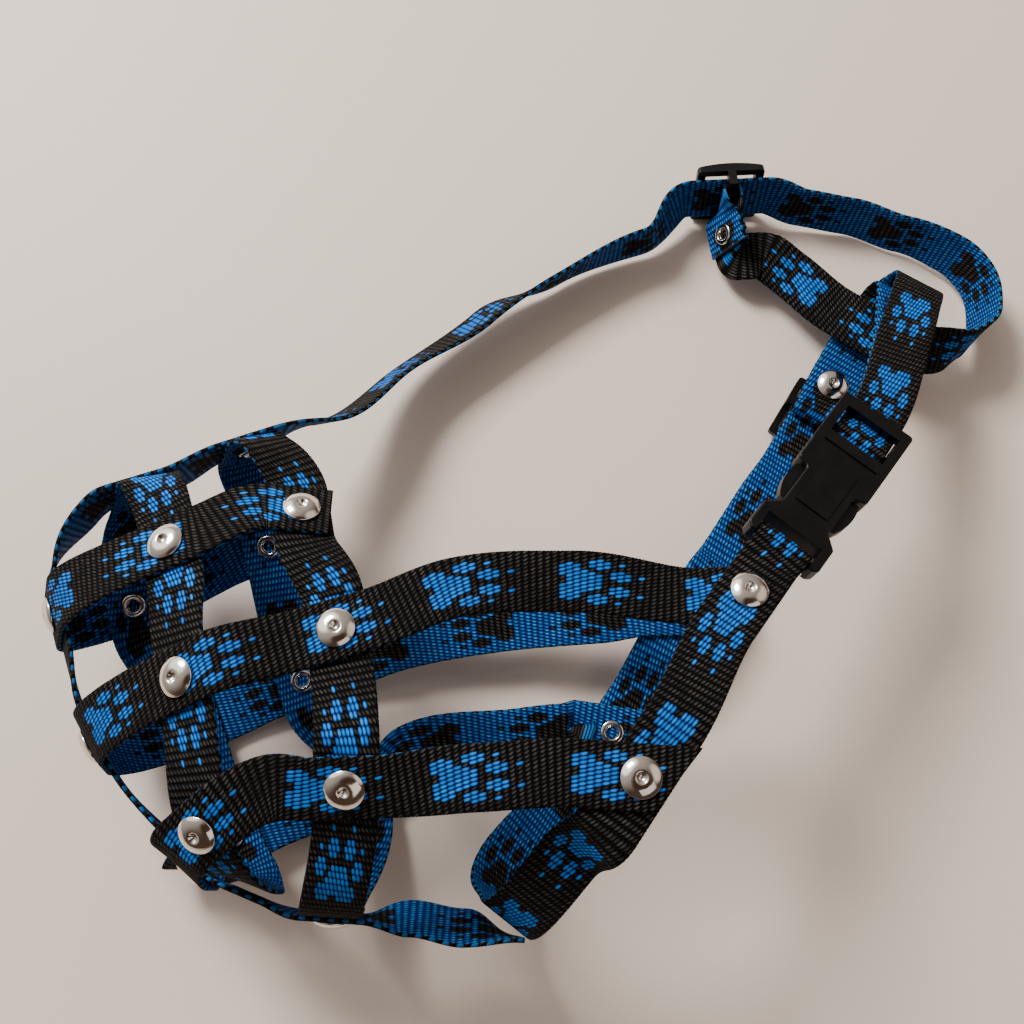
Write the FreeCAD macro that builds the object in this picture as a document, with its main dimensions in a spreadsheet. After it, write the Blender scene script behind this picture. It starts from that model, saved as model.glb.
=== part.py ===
import FreeCAD, Part
import math
import os

import Sketcher

# Basket muzzle of flat webbing, lying on its right side: X runs from the nose (-X) to the neck (+X),
# Y from the chin side (-Y) to the forehead side (+Y), Z up from the surface that it lies on.
# Three side straps run from the throat round the nose. Two bands lie inside them, and rivets join each
# crossing. A centre strap runs from the chin over the nose and forehead to a loop round the neck strap.
# Straps that run along the muzzle lie outside the bands. Lengths are in millimetres.

Vec = FreeCAD.Vector
os.makedirs("parts", exist_ok=True)
doc = FreeCAD.newDocument("muzzle")

# ---------------------------------------------------------------- driving dimensions
DIMENSIONS = {
    "web_width": 15.0, "web_thick": 1.3, "layer_gap": 0.16,
    "cap_radius": 4.8, "cap_rim": 0.7, "cap_height": 1.9, "cap_dome": 12.0,
    "dimple_radius": 1.5, "dimple_depth": 0.9,
    "post_radius": 1.6, "post_hollow": 1.0, "hole_radius": 1.75,
    "flange_radius": 3.4, "flange_thick": 0.7,
    "buckle_length": 50.0, "buckle_width": 21.5, "buckle_thick": 6.8,
    "female_length": 32.5, "wing_length": 11.5, "waist_width": 14.4,
    "shoulder_start": 25.0, "bar_depth": 3.0, "bar_slot": 3.6, "slot_width": 16.2,
    "cavity_width": 16.4, "cavity_thick": 4.2, "cavity_start": 11.6,
    "panel_width": 9.6, "panel_length": 15.5, "panel_height": 0.5,
    "seam_gap": 0.4, "male_thick": 5.6, "male_base": 4.8, "male_bar": 3.2, "male_mid_bar": 1.8,
    "prong_thick": 3.4, "prong_root": 32.5, "prong_inner": 4.5, "prong_outer": 7.0, "catch_x": 23.85,
    "catch_inner": 7.4, "catch_outer": 9.6, "button_end": 13.2, "button_low": 8.4, "button_radius": 12.5,
    "tip_x": 12.4, "tip_y": 6.7, "tip_inner": 5.6, "tongue_width": 4.4, "tongue_start": 21.0,
    "tongue_thick": 3.0, "corner": 1.1, "edge": 0.6,
    "slider_length": 21.0, "slider_width": 20.5, "slider_plate": 2.0, "slider_arch_radius": 40.0,
    "slider_lift": 1.0, "slider_bar": 2.6, "slider_mid_drop": 2.9, "slider_mid_thick": 1.7,
}
sheet = doc.addObject("Spreadsheet::Sheet", "sizes")
for row, (alias, value) in enumerate(DIMENSIONS.items(), start=1):
    sheet.set(f"A{row}", alias)
    sheet.set(f"B{row}", str(value))
    sheet.setAlias(f"B{row}", alias)
doc.recompute()


def size(alias):
    return float(sheet.get(alias))


WIDTH, THICK, GAP = size("web_width"), size("web_thick"), size("layer_gap")
LAYER = (THICK + GAP) / 2  # from the plane between two straps to the middle of each

# The route tables are laid out from a point near the nose, and MIDDLE brings the origin under the
# middle of the whole muzzle.
MIDDLE = Vec(10.95, -6.31, -0.16)


def at(x, y, z):
    return Vec(x, y, z) - MIDDLE


# ---------------------------------------------------------------- crossings
# name: (point between the two straps, the way the outer strap runs, the way the inner one runs,
#        which side is outward, half length of the flat of the outer strap and of the inner one)
CROSSINGS = {
    # rear band: left side (up), forehead side, chin side, right side (down)
    "left_upper_rear": ((-54, -13.5, 55), (46, -3, -9), (14, -56, 28), (0, 0.4, 1), 7.5, 7.5),
    "left_middle_rear": ((-42, -45.5, 66), (72, 22, -2), (13, -71, 10), (0, 0, 1), 7.5, 7.5),
    "left_lower_rear": ((-38, -82, 70), (57, 2, 2), (-3, -67, -31), (0, -0.2, 1), 7.5, 7.5),
    "top_rear": ((-73, 9.5, 37), (56, 21, -5), (16, 3.5, 38), (0, 1, 0), 7.5, 7.5),
    "chin_rear": ((-45, -113, 36), (56, -4, -2), (5, 0, 66), (0, -1, 0), 7.5, 7.5),
    "right_upper_rear": ((-70, -14.5, 18), (69, 23, 4), (12, -60, -24), (0, 0.4, -1), 7.5, 7.5),
    "right_middle_rear": ((-61, -52, 4.6), (62, 23, 1), (24, -67, -4), (0, 0, -1), 7.5, 7.5),
    "right_lower_rear": ((-43, -82, 5), (60, 24, 1), (14, -60, 10), (0, -0.2, -1), 7.5, 7.5),
    # front band
    "left_upper_front": ((-85.5, -23.5, 61), (69, 27, 12), (20, -58, 22), (0, 0.4, 1), 7.5, 7.5),
    "left_middle_front": ((-78, -57, 68), (66, 26, 31), (16, -71, 2), (0, 0, 1), 7.5, 7.5),
    "left_lower_front": ((-72, -92, 64), (60, 44, 42), (8, -51, -25), (-0.6, -0.3, 0.7), 6, 5.5),
    "top_front": ((-101, -3, 38), (22, 7, 0), (21, 9, 49), (-0.3, 1, 0), 7.5, 7.5),
    "chin_front": ((-66.5, -107.8, 36), (30, -12, 0), (6, 5, 58), (0, -1, 0), 5, 7.5),
    "right_upper_front": ((-109, -31, 14), (53, 23, -6), (9, -60, -24), (0, 0.4, -1), 7.5, 7.5),
    "right_middle_front": ((-92, -65, 4.8), (47, 19, -9), (26, -66, -2), (0, 0, -1), 7.5, 7.5),
    "right_lower_front": ((-78, -97, 6.8), (39, 20, -7), (24, -39, 14), (0, -0.3, -1), 9.5, 5.5),
    # nose: the side straps turn round it outside the centre strap
    "nose_upper": ((-122, -37, 36), (-21, -9, -49), (13, -38, 0), (-1, 0, 0), 7.5, 7.5),
    "nose_middle": ((-108.5, -71, 36), (-14, -8, -64), (40, -65, 0), (-1, -0.3, 0), 7.5, 7.5),
    "nose_lower": ((-80.5, -101.5, 36), (-6, -5, -58), (38, -36, 0), (-1, -1, 0), 7.5, 5),
    # throat: the side straps end on the throat strap, all but one of them under it
    "throat_left_middle": ((58.8, -35.1, 58), (-28, -36, 10), (50, 3, -2), (0, 0, 1), 9, 10),
    "throat_left_lower": ((29, -80, 73), (40, -3, 0), (-44, -63, -1), (0, 0, 1), 13, 13),
    "throat_right_lower": ((28.5, -67, 8), (40, 57, 2), (40, -6, 1), (0, 0, -1), 12, 12),
    "throat_right_middle": ((50.5, -33, 16), (48, 68, -4), (40, 0, -3), (0, 0, -1), 11, 11),
}


def outward(name):
    """The outward normal of a crossing, square to both straps."""
    _, outer, inner, side, _, _ = CROSSINGS[name]
    n = Vec(*outer).cross(Vec(*inner)).normalize()
    return n if n.dot(Vec(*side)) > 0 else n * -1


# ---------------------------------------------------------------- strap routes
# A stop is (crossing, layers outward of its plane) or (point, outward normal[, half length of a flat]).
def over(name, layers=1):
    return ("over", name, layers)


def under(name, layers=1):
    return ("under", name, -layers)


def free(x, y, z, normal, flat=0.0):
    return ("free", at(x, y, z), Vec(*normal).normalize(), flat)


def pieces_of(route, start=0.0, end=0.0):
    """The knots of each piece of a strip, which is divided at each CUT.

    A knot is where a straight stretch begins or ends: (point, direction, outward normal).
    """
    stops, cuts = [], []
    for kind, *rest in route:
        if kind == "cut":
            cuts.append(len(stops) - 1)
            continue
        where, *rest = rest
        if kind == "free":
            stops.append((where, rest[0], rest[1], rest[2] if len(rest) > 2 else None))
            continue
        point, outer, inner, _, flat_outer, flat_inner = CROSSINGS[where]
        n = outward(where)
        way = Vec(*(inner if kind == "under" else outer))
        flat = flat_inner if kind == "under" else flat_outer
        stops.append((at(*point) + n * (rest[0] * LAYER), n * (-1 if kind == "fold" else 1), flat, way))
    knots, pieces = [], []
    last = len(stops) - 1
    for i, (p, n, flat, way) in enumerate(stops):
        before, after = stops[max(i - 1, 0)][0], stops[min(i + 1, last)][0]
        if way is None:
            way = after - before
            if 0 < i < last:
                # the nearer neighbour steers the strap more
                a, b = p - before, after - p
                way = a * (1 / a.Length**2) + b * (1 / b.Length**2)
        elif way.dot(after - before) < 0:
            way = way * -1
        t = (way - n * n.dot(way)).normalize()
        back, ahead = (start if i == 0 else flat), (end if i == last else flat)
        if back:
            knots.append((p - t * back, t, n))
        if not back or not ahead:
            knots.append((p, t, n))
        if ahead:
            knots.append((p + t * ahead, t, n))
        if i in cuts or i == last:
            pieces.append(knots)
            knots = knots[-1:]
    return pieces


def stations_of(knots, step=4.0):
    """Points along the strap: straight between the ends of a flat, a cubic curve elsewhere."""
    stations = []
    for (p0, t0, n0), (p1, t1, n1) in zip(knots, knots[1:]):
        chord = p1 - p0
        length = chord.Length
        turn = math.degrees(t0.getAngle(t1) + n0.getAngle(n1))
        bent = math.degrees(t0.getAngle(chord)) > 0.5 or math.degrees(t1.getAngle(chord)) > 0.5
        count = max(2, round(length / step), math.ceil(turn / 14)) if bent else 2
        for k in range(count):
            s = k / count
            p = (p0 * (2 * s**3 - 3 * s**2 + 1) + t0 * (length * (s**3 - 2 * s**2 + s))
                 + p1 * (3 * s**2 - 2 * s**3) + t1 * (length * (s**3 - s**2)))
            d = (chord * (6 * s - 6 * s**2) + t0 * (length * (3 * s**2 - 4 * s + 1))
                 + t1 * (length * (3 * s**2 - 2 * s))).normalize()
            blend = s * s * (3 - 2 * s)
            n = n0 * (1 - blend) + n1 * blend
            stations.append((p, d, (n - d * d.dot(n)).normalize()))
    stations.append(knots[-1])
    return stations


def ribbon(stations, slants=(0.0, 0.0)):
    """A solid strap of the webbing's width and thickness along its stations, with its ends cut on a slant."""
    sections = []
    for i, (p, d, n) in enumerate(stations):
        slant = slants[0] if i == 0 else slants[1] if i == len(stations) - 1 else 0.0
        across = (d.cross(n) + d * slant) * (WIDTH / 2)
        up = n * (THICK / 2)
        corners = [p + across + up, p - across + up, p - across - up, p + across - up]
        sections.append(Part.makePolygon(corners + corners[:1]))
    return Part.makeLoft(sections, True, True)


FOREHEAD_START = [
    free(2, -119.6, 31, (-0.1, -1, 0.1)), free(-12, -116.6, 33, (0, -0.88, -0.48)),
    free(-26, -114.2, 34.5, (0, -0.88, -0.44)), over("chin_rear"),
    over("chin_front"), under("nose_lower"), under("nose_middle"), under("nose_upper"),
    free(-116, -10, 37, (-0.8, 0.6, 0)), over("top_front"), over("top_rear"),
    free(-55, 20.5, 26, (-0.1, 1, 0.3)), free(-34, 41, 13, (-0.5, 0.7, 0.5)),
    free(-9, 60, 10, (-0.6, 0.6, 0.7)), free(15, 74, 9, (-0.5, 0.8, 0.2)),
    free(42, 86.6, 9.2, (-0.3, 1, -0.05)),
]
# The strap goes straight through the forehead slider, then round the loop and back to its middle bar.
FOREHEAD_SLIDER = (at(69, 101.2, 10.9), Vec(1, 0.05, 0), Vec(0, 1, -0.28))
NECK_SLIDER = (at(93.5, 28.5, 5.2), Vec(0.532, 0.847, 0), Vec(0, 0, -1))
BUCKLE = (at(67.4, -24.5, 55), Vec(0.615, 0.771, -0.166), Vec(0.1, 0.13, 0.99))


def axes_of(mount):
    """Origin, unit X, Y and Z of a part given by its origin, its X way and roughly its Z way."""
    origin, x, z = mount
    x = Vec(x).normalize()
    z = (z - x * x.dot(z)).normalize()
    return origin, x, z.cross(x), z


def place_of(mount):
    origin, x, y, z = axes_of(mount)
    turn = FreeCAD.Matrix(x.x, y.x, z.x, origin.x, x.y, y.y, z.y, origin.y, x.z, y.z, z.z, origin.z, 0, 0, 0, 1)
    return FreeCAD.Placement(turn)


def inside(mount, x, z):
    """A point given by a part's own X and Z, in its middle plane."""
    origin, ex, _, ez = axes_of(mount)
    return origin + ex * x + ez * z


def round_bar(mount, x, z, reach_x, reach_z, side, inner_touches):
    """Stops that take a strap from one face of a bar round its side (+1 or -1 along X) to the other face.

    The strap arrives on the bar's face at +Z * reach_z. The sign of inner_touches says which face of the
    webbing lies on the bar: +1 its inner face, -1 its outer face.
    """
    _, ex, _, ez = axes_of(mount)
    s = inner_touches
    return [
        ("free", inside(mount, x, z + reach_z), ez * math.copysign(s, reach_z), 0.0),
        ("free", inside(mount, x + side * reach_x, z), ex * (side * s), 0.0),
        ("free", inside(mount, x, z - reach_z), ez * -math.copysign(s, reach_z), 0.0),
    ]


# From a bar's face to the middle of the webbing on it. The bend clears the bar's corners.
CLEAR = THICK / 2 + 0.5
MIDDLE_BAR_Z = -(THICK / 2 + size("slider_mid_drop") - 0.65 + size("slider_mid_thick") / 2)
SLIDER_REACH_X = size("slider_bar") / 2 + CLEAR
SLIDER_REACH_Z = size("slider_mid_thick") / 2 + CLEAR

# where each loop end is riveted to itself: (point between the layers, outward normal, way along it)
FOREHEAD_END = (at(68.3, 87.8, 11.1), Vec(-0.85, -0.15, 0.5), Vec(-0.1, 1, 0))
NECK_END = (at(98.4, 37.6, 9.0), Vec(0, 0, 1), Vec(0.5, 0.87, 0.2))


def layer_of(end, layers, faces):
    """The flat of a loop end at its rivet."""
    point, n, way = end
    n = Vec(n).normalize()
    return ("free", point + n * (layers * LAYER), n * faces, 5.2, way)


CUT = ("cut",)
FOREHEAD_STRIP = FOREHEAD_START + [
    CUT,
    ("free", FOREHEAD_SLIDER[0], axes_of(FOREHEAD_SLIDER)[3], 12.0, FOREHEAD_SLIDER[1]),
    free(93, 98.4, 9.4, (0.1, 1, -0.3)), CUT,
    free(108, 96, 8.2, (0.1, 1, -0.3)), free(125, 89.5, 8.4, (0.2, 1, -0.3)),
    free(139, 82.5, 9, (0.5, 0.85, -0.4)), free(146.3, 73.5, 9.6, (1, 0.4, -0.45)),
    free(146.8, 60, 11.3, (1, -0.25, -0.35)), free(139.5, 49.8, 14, (0.5, -0.85, 0.15)),
    free(128, 46.3, 16.5, (0.15, -0.7, 0.7)), free(117, 48.5, 17.2, (-0.05, -0.25, 1)),
    free(107, 55.5, 15, (-0.2, -0.15, 1)), free(98, 64, 11.5, (-0.25, -0.1, 1)),
    free(87.5, 75.5, 9.5, (-0.3, -0.1, 1)), CUT,
    free(81.5, 80.5, 9.8, (-0.35, -0.12, 0.93)), layer_of(FOREHEAD_END, -1, 1),
]
FOREHEAD_WRAP = [
    ("free", inside(FOREHEAD_SLIDER, SLIDER_REACH_X, MIDDLE_BAR_Z), axes_of(FOREHEAD_SLIDER)[1] * -1, 0.0),
    ("free", inside(FOREHEAD_SLIDER, 0, MIDDLE_BAR_Z + SLIDER_REACH_Z), axes_of(FOREHEAD_SLIDER)[3] * -1, 0.0),
    ("free", inside(FOREHEAD_SLIDER, -SLIDER_REACH_X, MIDDLE_BAR_Z), axes_of(FOREHEAD_SLIDER)[1], 0.0),
]
FOREHEAD_STRIP += FOREHEAD_WRAP + [layer_of(FOREHEAD_END, 1, -1)]

BAR_X, BAR_REACH_X, BAR_REACH_Z = size("bar_depth") / 2, size("bar_depth") / 2 + CLEAR + 0.2, 1.5 + CLEAR
MID_X = size("buckle_length") - size("male_bar") - 4.9 - size("male_mid_bar") / 2
MID_REACH = size("male_mid_bar") / 2 + CLEAR
NECK_STRIP = [
    ("fold", "throat_left_middle", -3),
    *reversed(round_bar(BUCKLE, BAR_X, 0, BAR_REACH_X, BAR_REACH_Z, 1, 1)),
    over("throat_left_middle"), under("throat_left_lower"), free(13, -98.5, 57.5, (-0.1, -0.3, 1)),
    free(-2, -113.5, 34, (-0.5, -0.6, -0.1)), free(-5, -107.5, 18, (-0.6, -0.5, -0.5)),
    over("throat_right_lower"), over("throat_right_middle"),
    free(62.5, -17, 9.5, (0, 0, -1)), free(75.5, 2, 5.6, (0, 0, -1)),
    ("free", NECK_SLIDER[0], NECK_SLIDER[2], 17.0, NECK_SLIDER[1]),
    free(113, 60.5, 6.2, (0.1, 0.2, -1)), free(123.7, 68, 16.5, (0.5, 0.85, 0.1)),
    free(120.3, 60, 27.8, (0.2, 0.35, 1)), free(112.5, 43.5, 35.5, (0.05, 0.3, 1)), CUT,
    ("free", inside(BUCKLE, size("buckle_length") - size("male_bar") / 2, -0.9), BUCKLE[2], 1.5),
    *round_bar(BUCKLE, MID_X, -0.6, MID_REACH, MID_REACH, -1, 1),
    ("free", inside(BUCKLE, size("buckle_length") - size("male_bar") / 2, -2.9), BUCKLE[2] * -1, 1.5),
]
NECK_STRIP += [
    free(111.5, 42.5, 33, (-0.05, -0.3, -1)), CUT,
    free(116, 57.5, 25, (-0.2, -0.35, -1)), free(117.3, 64.5, 16.5, (-0.5, -0.85, -0.1)),
    free(110, 55.5, 9.2, (0, 0, 1)), CUT, layer_of(NECK_END, 1, 1),
    *round_bar(NECK_SLIDER, 0, MIDDLE_BAR_Z, SLIDER_REACH_X, -SLIDER_REACH_Z, -1, 1),
    layer_of(NECK_END, -1, -1),
]

SIDE_STRAPS = {
    "side_strap_upper": [over("left_upper_rear"), over("left_upper_front"), over("nose_upper"),
                         over("right_upper_front"), over("right_upper_rear")],
    "side_strap_middle": [
        under("throat_left_middle"), free(15, -33, 62, (0, -0.1, 1)), free(-14, -35, 64.5, (0, 0.1, 1)),
        over("left_middle_rear"), over("left_middle_front"), over("nose_middle"),
        over("right_middle_front"), over("right_middle_rear"), free(-34, -42, 7.5, (0, 0.1, -1)),
        free(-5, -37, 12, (0, 0.1, -1)), free(25, -35, 17, (0, 0, -1)), under("throat_right_middle")],
    "side_strap_lower": [
        over("throat_left_lower"), free(-8, -80, 73.5, (0, 0, 1)), over("left_lower_rear"),
        free(-56, -82.5, 70.2, (-0.1, -0.15, 1)), over("left_lower_front"), over("nose_lower"),
        over("right_lower_front"), over("right_lower_rear"), free(-29, -72, 7.5, (0, 0.3, -1)),
        free(0, -68, 11, (0, 0.3, -1)), free(16, -66.5, 10.5, (0, 0.2, -1)), under("throat_right_lower")],
}
BANDS = {
    "front_band": [under("right_lower_front", 3), under("chin_front", 4), under("left_lower_front", 2.3),
                   under("left_middle_front"), under("left_upper_front"), under("top_front", 1.2),
                   under("right_upper_front"), under("right_middle_front"), under("right_lower_front", 1.1)],
    "rear_band": [under("chin_rear", 3), under("right_lower_rear"), under("right_middle_rear"),
                  under("right_upper_rear"), under("top_rear", 1.2), under("left_upper_rear"),
                  under("left_middle_rear"), under("left_lower_rear"), under("chin_rear")],
}
# side strap: (length past the last rivet, slant) of its first and last ends, which follow the throat strap
SIDE_ENDS = {"side_strap_middle": ((5.6, -0.4), (7.8, 0.7)), "side_strap_lower": ((8.4, -0.7), (7.8, 0.7))}
SQUARE = ((7.5, 0.0), (7.5, 0.0))
# strip: (route, its first and last ends, names of its pieces)
STRIPS = [(route, SIDE_ENDS.get(name, SQUARE), [name]) for name, route in (*SIDE_STRAPS.items(), *BANDS.items())]
STRIPS += [
    (FOREHEAD_STRIP, ((0.0, 0.0), (5.0, 0.0)),
     ["centre_strap", "forehead_slider_webbing", "forehead_loop", "forehead_loop_end"]),
    (NECK_STRIP, ((9.0, 0.0), (5.0, 0.0)), ["throat_strap", "buckle_loop_webbing", "neck_return_strap", "neck_loop_end"]),
]
STRAP_STATIONS, SLANTS = {}, {}
for route, ((start, first_slant), (end, last_slant)), names in STRIPS:
    for name, knots in zip(names, pieces_of(route, start, end), strict=True):
        STRAP_STATIONS[name] = stations_of(knots)
    SLANTS[names[0]], SLANTS[names[-1]] = (first_slant, 0.0), (0.0, last_slant)
    if len(names) == 1:
        SLANTS[names[0]] = (first_slant, last_slant)

# ---------------------------------------------------------------- rivets
# name: (point, outward normal, thickness outward of the point, thickness inward of it)
PLY = THICK + GAP
RIVETS = {}
for name in CROSSINGS:
    if name in ("top_front", "chin_front"):
        continue  # the straps only cross here
    inner_plies = {"chin_rear": 2, "right_lower_front": 2.05, "throat_left_middle": 2,
                   "left_lower_front": 1.61, "top_rear": 1.08}.get(name, 1)
    RIVETS["rivet_" + name] = (at(*CROSSINGS[name][0]), outward(name), PLY, PLY * inner_plies)
for name, (point, n, _) in (("forehead_loop", FOREHEAD_END), ("neck_loop", NECK_END)):
    side = -1 if name == "forehead_loop" else 1
    RIVETS["rivet_" + name] = (point, Vec(n).normalize() * side, PLY, PLY)


def strap_solid(name):
    """The strap with a hole where each rivet goes through it."""
    stations = STRAP_STATIONS[name]
    solid = ribbon(stations, SLANTS.get(name, (0.0, 0.0)))
    for point, n, _, _ in RIVETS.values():
        if min((p - point).Length for p, _, _ in stations) < 6:
            hole = Part.makeCylinder(size("hole_radius"), 12, point - n * 6, n)
            if solid.distToShape(hole)[0] < 0.01:
                solid = solid.cut(hole)
    return solid


parts = {}
for name in STRAP_STATIONS:
    feature = doc.addObject("Part::Feature", name)
    feature.Shape = strap_solid(name)
    parts[name] = feature

# ---------------------------------------------------------------- sketch and feature helpers
def on(alias, factor=1.0):
    """A coordinate or length as (alias in the sheet, factor), so that an expression can follow it."""
    return alias, factor


def value(coordinate):
    return 0.0 if coordinate == 0 else size(coordinate[0]) * coordinate[1]


def follow(thing, path, coordinate):
    thing.setExpression(path, f"{coordinate[1]} * sizes.{coordinate[0]}")


def derive(alias, formula):
    row = len(DIMENSIONS) + len(derive.made) + 1
    derive.made.append(alias)
    sheet.set(f"A{row}", alias)
    sheet.set(f"B{row}", "=" + formula)
    sheet.setAlias(f"B{row}", alias)
    doc.recompute()


derive.made = []


def new_body(label):
    body = doc.addObject("PartDesign::Body", label)
    body.Label = label
    return body


def sketch_on(body, plane, shift=0):
    """A sketch on one of the body's own planes, moved along that plane's normal."""
    sketch = body.newObject("Sketcher::SketchObject", body.Name + "_sketch")
    support = next(f for f in body.Origin.OriginFeatures if f.Role == plane)
    sketch.AttachmentSupport = [(support, "")]
    sketch.MapMode = "FlatFace"
    if shift != 0:
        sketch.AttachmentOffset = FreeCAD.Placement(Vec(0, 0, value(shift)), FreeCAD.Rotation())
        follow(sketch, "AttachmentOffset.Base.z", shift)
    return sketch


def pin_point(sketch, line, x, y):
    """Holds the start of a line at a place whose coordinates follow the sheet."""
    for kind, axis, coordinate in (("DistanceX", -2, x), ("DistanceY", -1, y)):
        if coordinate == 0:
            sketch.addConstraint(Sketcher.Constraint("PointOnObject", line, 1, axis))
        else:
            index = sketch.addConstraint(Sketcher.Constraint(kind, -1, 1, line, 1, value(coordinate)))
            follow(sketch, f"Constraints[{index}]", coordinate)


def outline(sketch, corners, arcs=None):
    """A closed outline through corners. arcs maps a corner's number to the radius of the arc after it."""
    arcs = arcs or {}
    points = [Vec(value(x), value(y), 0) for x, y in corners]
    total = len(points)
    for i, a in enumerate(points):
        b = points[(i + 1) % total]
        if i in arcs:
            half, r = (b - a) * 0.5, value(arcs[i])
            side = Vec(half.y, -half.x, 0).normalize() * math.sqrt(r * r - half.Length**2)
            middle = a + half + side
            first, last = math.atan2(*(b - middle)[1::-1]), math.atan2(*(a - middle)[1::-1])
            circle = Part.Circle(middle, Vec(0, 0, 1), r)
            sketch.addGeometry(Part.ArcOfCircle(circle, first, last), False)
        else:
            sketch.addGeometry(Part.LineSegment(a, b), False)
    for i in range(total):
        after = (i + 1) % total
        # an arc runs from its far corner back to its near one
        end = 1 if i in arcs else 2
        start = 2 if after in arcs else 1
        sketch.addConstraint(Sketcher.Constraint("Coincident", i, end, after, start))
    for i, (x, y) in enumerate(corners):
        if i in arcs:
            radius = sketch.addConstraint(Sketcher.Constraint("Radius", i, value(arcs[i])))
            follow(sketch, f"Constraints[{radius}]", arcs[i])
            continue
        pin_point(sketch, i, x, y)
    for i in arcs:
        before = (i - 1) % total
        for kind, axis, coordinate in (("DistanceX", -2, corners[i][0]), ("DistanceY", -1, corners[i][1])):
            if coordinate == 0:
                sketch.addConstraint(Sketcher.Constraint("PointOnObject", before, 2, axis))
            else:
                c = Sketcher.Constraint(kind, -1, 1, before, 2, value(coordinate))
                follow(sketch, f"Constraints[{sketch.addConstraint(c)}]", coordinate)


def block(x0, x1, y0, y1):
    return [(x0, y0), (x1, y0), (x1, y1), (x0, y1)]


def extrude(kind, body, sketch, length, both_ways=False, flip=False):
    feature = body.newObject("PartDesign::" + kind, f"{body.Name}_{kind.lower()}")
    feature.Profile = sketch
    feature.Type = "Length"
    feature.Length = value(length)
    follow(feature, "Length", length)
    if both_ways:
        feature.SideType = "Symmetric"
    feature.Reversed = flip
    sketch.Visibility = False
    return feature


def soften(body, feature, radius, chosen):
    """Rounds the edges of the body's last feature for which chosen(edge) is true."""
    doc.recompute()
    names = [f"Edge{i}" for i, e in enumerate(feature.Shape.Edges, start=1) if chosen(e)]
    fillet = body.newObject("PartDesign::Fillet", body.Name + "_fillet")
    fillet.Base = (feature, names)
    fillet.Radius = value(radius)
    follow(fillet, "Radius", radius)
    return fillet


# ---------------------------------------------------------------- rivets: a domed cap on a hollow post
# Rivets that hold the same layers share one set of heights, named by a letter.
PLIES = sorted({(round(out, 3), round(inward, 3)) for _, _, out, inward in RIVETS.values()})
derive("cap_top", "cap_height - dimple_depth")
derive("flange_lip", "flange_radius - 0.5")
for key, (out, inward) in zip("abcdefgh", PLIES):
    derive(f"face_{key}", f"{out} + 0.02")
    derive(f"dome_foot_{key}", f"face_{key} + cap_rim")
    derive(f"dome_top_{key}", f"face_{key} + cap_height")
    derive(f"dimple_{key}", f"face_{key} + cap_top")
    derive(f"inner_{key}", f"{inward} + 0.02")
    derive(f"flange_{key}", f"inner_{key} + flange_thick")
    derive(f"lip_{key}", f"flange_{key} - 0.35")


def make_rivet(name, point, normal, out, inward):
    body = new_body(name)
    sketch = sketch_on(body, "XZ_Plane")
    key = "abcdefgh"[PLIES.index((round(out, 3), round(inward, 3)))]
    corners = [
        (0, on(f"dimple_{key}")), (on("dimple_radius"), on(f"dome_top_{key}")),
        (on("cap_radius"), on(f"dome_foot_{key}")), (on("cap_radius"), on(f"face_{key}")),
        (on("post_radius"), on(f"face_{key}")), (on("post_radius"), on(f"inner_{key}", -1)),
        (on("flange_radius"), on(f"inner_{key}", -1)), (on("flange_radius"), on(f"lip_{key}", -1)),
        (on("flange_lip"), on(f"flange_{key}", -1)), (on("post_hollow"), on(f"flange_{key}", -1)),
        (on("post_hollow"), on(f"face_{key}")), (0, on(f"face_{key}")),
    ]
    outline(sketch, corners, {1: on("cap_dome")})
    turn = body.newObject("PartDesign::Revolution", name + "_turn")
    turn.Profile = sketch
    turn.ReferenceAxis = (sketch, ["V_Axis"])
    turn.Angle = 360
    sketch.Visibility = False
    body.Placement = FreeCAD.Placement(point, FreeCAD.Rotation(Vec(0, 0, 1), normal))
    return body


for name, (point, normal, out, inward) in RIVETS.items():
    parts[name] = make_rivet(name, point, normal, out, inward)
doc.recompute()

# ---------------------------------------------------------------- side-release buckle
# X runs from the throat strap's bar to the neck strap's end, Z out of the face that shows.
for alias, formula in {
    "half_width": "buckle_width / 2", "half_waist": "waist_width / 2", "half_slot": "slot_width / 2",
    "half_cavity": "cavity_width / 2", "half_panel": "panel_width / 2", "half_tongue": "tongue_width / 2",
    "wing_round": "wing_length - 3.2", "wing_corner": "half_width - 1.4", "slot_end": "bar_depth + bar_slot",
    "shoulder_foot": "shoulder_start - 1.2", "bar_thick": "2.6", "face": "buckle_thick / 2",
    "panel_start": "wing_length + 2.5", "panel_end": "panel_start + panel_length",
    "male_start": "female_length + seam_gap", "male_inner": "male_start + male_base",
    "outer_bar": "buckle_length - male_bar", "mid_bar_end": "outer_bar - 4.9",
    "mid_bar_start": "mid_bar_end - male_mid_bar", "half_male": "male_thick / 2",
    "outer_bar_low": "0.1", "outer_bar_thick": "half_male - outer_bar_low", "mid_bar_low": "1.5",
    "rail_end": "buckle_length + 1", "grip_low": "male_start + 1.3", "grip_high": "grip_low + 1",
    "half_slider": "slider_width / 2", "slider_end": "slider_length / 2",
    "slider_face": "slider_lift + slider_plate", "slider_slot": "slider_end - slider_bar",
    "half_bar": "slider_bar / 2", "mid_bar_face": "slider_mid_drop",
    "mid_bar_back": "slider_mid_drop + slider_mid_thick", "post_top": "slider_lift + 0.8",
}.items():
    derive(alias, formula)


def upright(edge):
    a, b = edge.Vertexes[0].Point, edge.Vertexes[-1].Point
    return len(edge.Vertexes) == 2 and (a - b).Length > 1 and abs(a.x - b.x) + abs(a.y - b.y) < 1e-6


def mirrored(half):
    """A closed outline from its half at +Y, listed from low X to high X."""
    return [(x, (y[0], -y[1])) for x, y in half] + half[::-1]


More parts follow.
